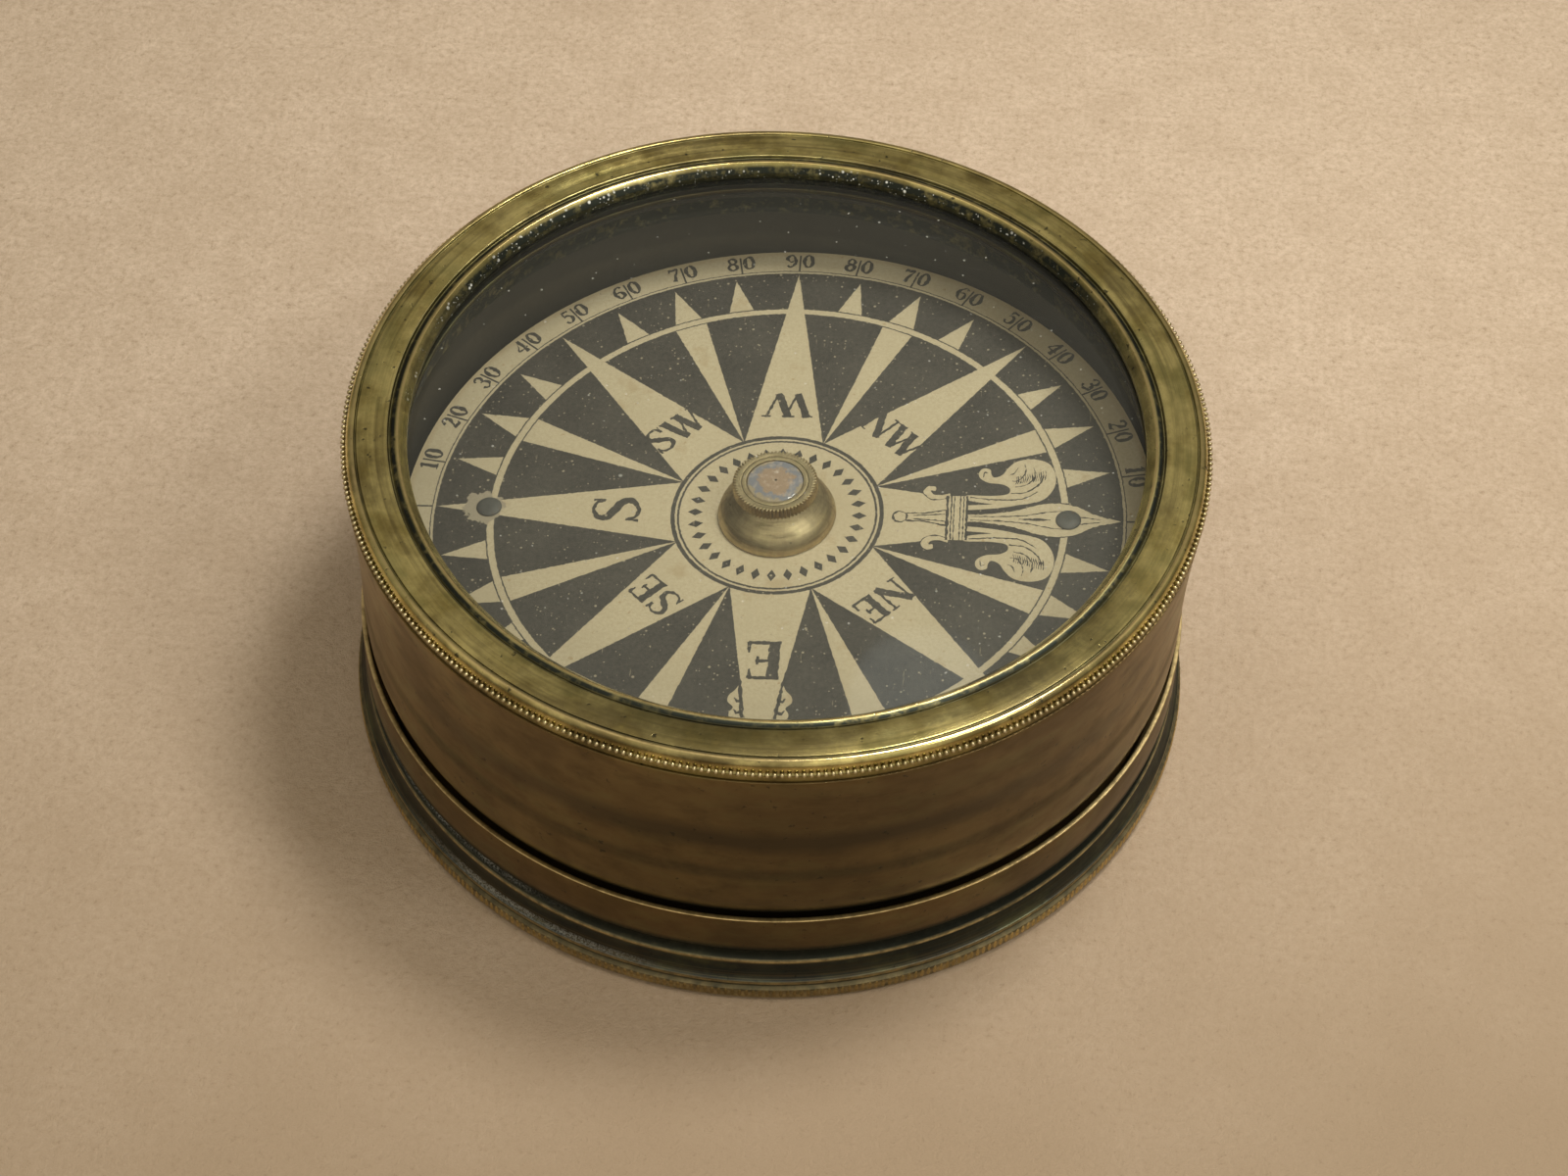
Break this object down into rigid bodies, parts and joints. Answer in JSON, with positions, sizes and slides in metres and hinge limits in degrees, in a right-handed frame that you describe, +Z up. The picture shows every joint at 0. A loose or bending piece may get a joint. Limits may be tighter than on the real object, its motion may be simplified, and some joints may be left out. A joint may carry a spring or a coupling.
{
  "type": "pocket compass",
  "caption": "Turned brass drum pocket compass with milled bezel, glazed top and a dry printed card that spins on a steel pivot, standing on its own push-on lid.",
  "frame": {"origin": "middle of the lid's flat face, on the surface the compass stands on", "axes": "+Z up along the axis of the drum and of the pivot, +X towards north on the card at rest"},
  "size_m": [0.0768, 0.0768, 0.0327],
  "materials": {
    "aged_brass": "aged, brown, dull polish",
    "patinated_brass": "black-green patina, bright on edges",
    "bezel_brass": "mottled olive, handled, bright on edges",
    "bright_brass": "soft polish",
    "blued_steel": "grey-blue, dull",
    "window_glass": "flat, clear",
    "putty": "old, cracked",
    "lining_paper": "dark, matt",
    "printed_paper": "cream laid paper with engraved black print",
    "pasteboard": "raw",
    "agate": "polished"
  },
  "bodies": {
    "lid": {"lid_plate": "patinated_brass", "lid_rim": "aged_brass"},
    "drum": {"drum_wall": "aged_brass", "drum_floor": "patinated_brass", "wall_lining": "lining_paper", "pivot_stem": "bright_brass", "pivot_pin": "blued_steel"},
    "bezel": {"bezel_ring": "bezel_brass", "glass": "window_glass", "glass_spring_ring": "patinated_brass", "glass_bedding": "putty"},
    "card": {"card_paper": "printed_paper", "card_board": "pasteboard", "needle_bar": "blued_steel", "needle_rivet_north": "blued_steel", "needle_rivet_south": "blued_steel", "cap_body": "bright_brass", "cap_collar": "bright_brass", "agate_cup": "agate", "cap_nut": "patinated_brass"}
  },
  "joints": [
    {"name": "drum_lift", "type": "slide", "parent": "lid", "child": "drum", "axis": [0, 0, 1], "range_m": [0, 0.03]},
    {"name": "bezel_lift", "type": "slide", "parent": "drum", "child": "bezel", "axis": [0, 0, 1], "range_m": [0, 0.02]},
    {"name": "card_spin", "type": "hinge", "parent": "drum", "child": "card", "pos_m": [0, 0, 0.02385], "axis": [0, 0, 1], "continuous": true}
  ]
}
